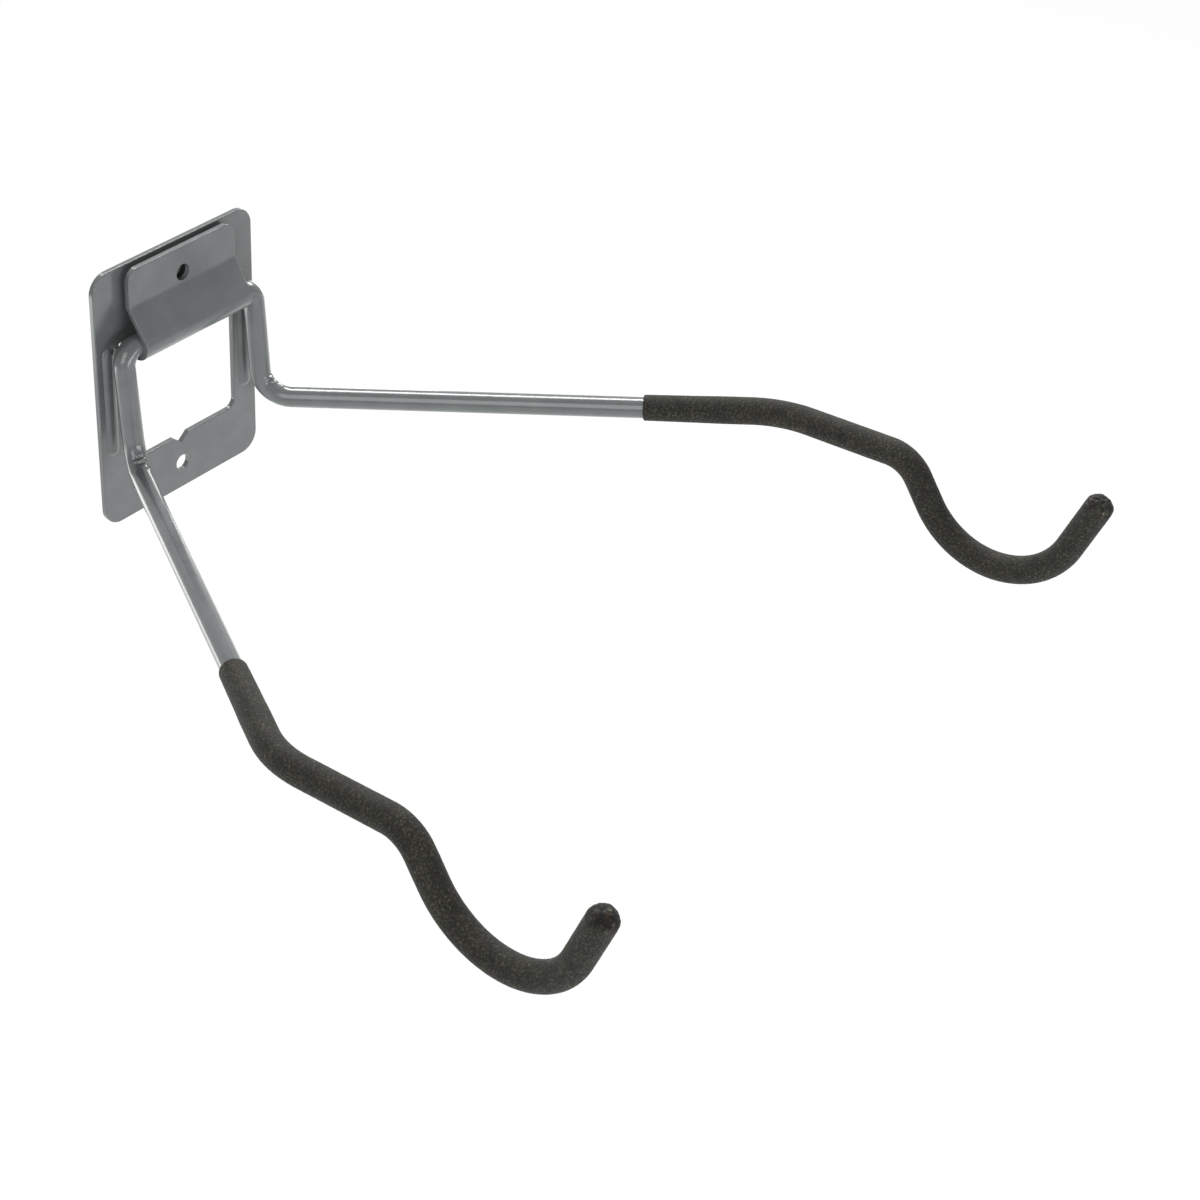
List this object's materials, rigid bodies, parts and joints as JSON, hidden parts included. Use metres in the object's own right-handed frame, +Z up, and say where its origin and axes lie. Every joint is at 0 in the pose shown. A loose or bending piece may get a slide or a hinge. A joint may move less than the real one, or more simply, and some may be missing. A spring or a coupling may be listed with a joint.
{
  "type": "garage utility hook",
  "caption": "Fold-up wall hook: a folded steel plate grips the cross bar of a bent tube frame whose two spread arms end in sleeved cradles.",
  "frame": {"origin": "midway between the two screw holes, on the wall plane at the back of the plate", "axes": "+Z up, +Y into the wall, so the arms reach towards -Y, +X to the right of someone facing the wall"},
  "size_m": [0.3604, 0.3927, 0.131],
  "materials": {
    "grey_paint": "satin",
    "dark_foam": "matte"
  },
  "bodies": {
    "wall_plate": {"back_plate": "grey_paint"},
    "folding_frame": {"hook_frame": "grey_paint", "sleeve_left": "dark_foam", "sleeve_right": "dark_foam"}
  },
  "joints": [
    {"name": "fold_hinge", "type": "hinge", "parent": "wall_plate", "child": "folding_frame", "pos_m": [0, -0.0106, 0.0292], "axis": [-1, 0, 0], "range_deg": [-6, 93]}
  ]
}
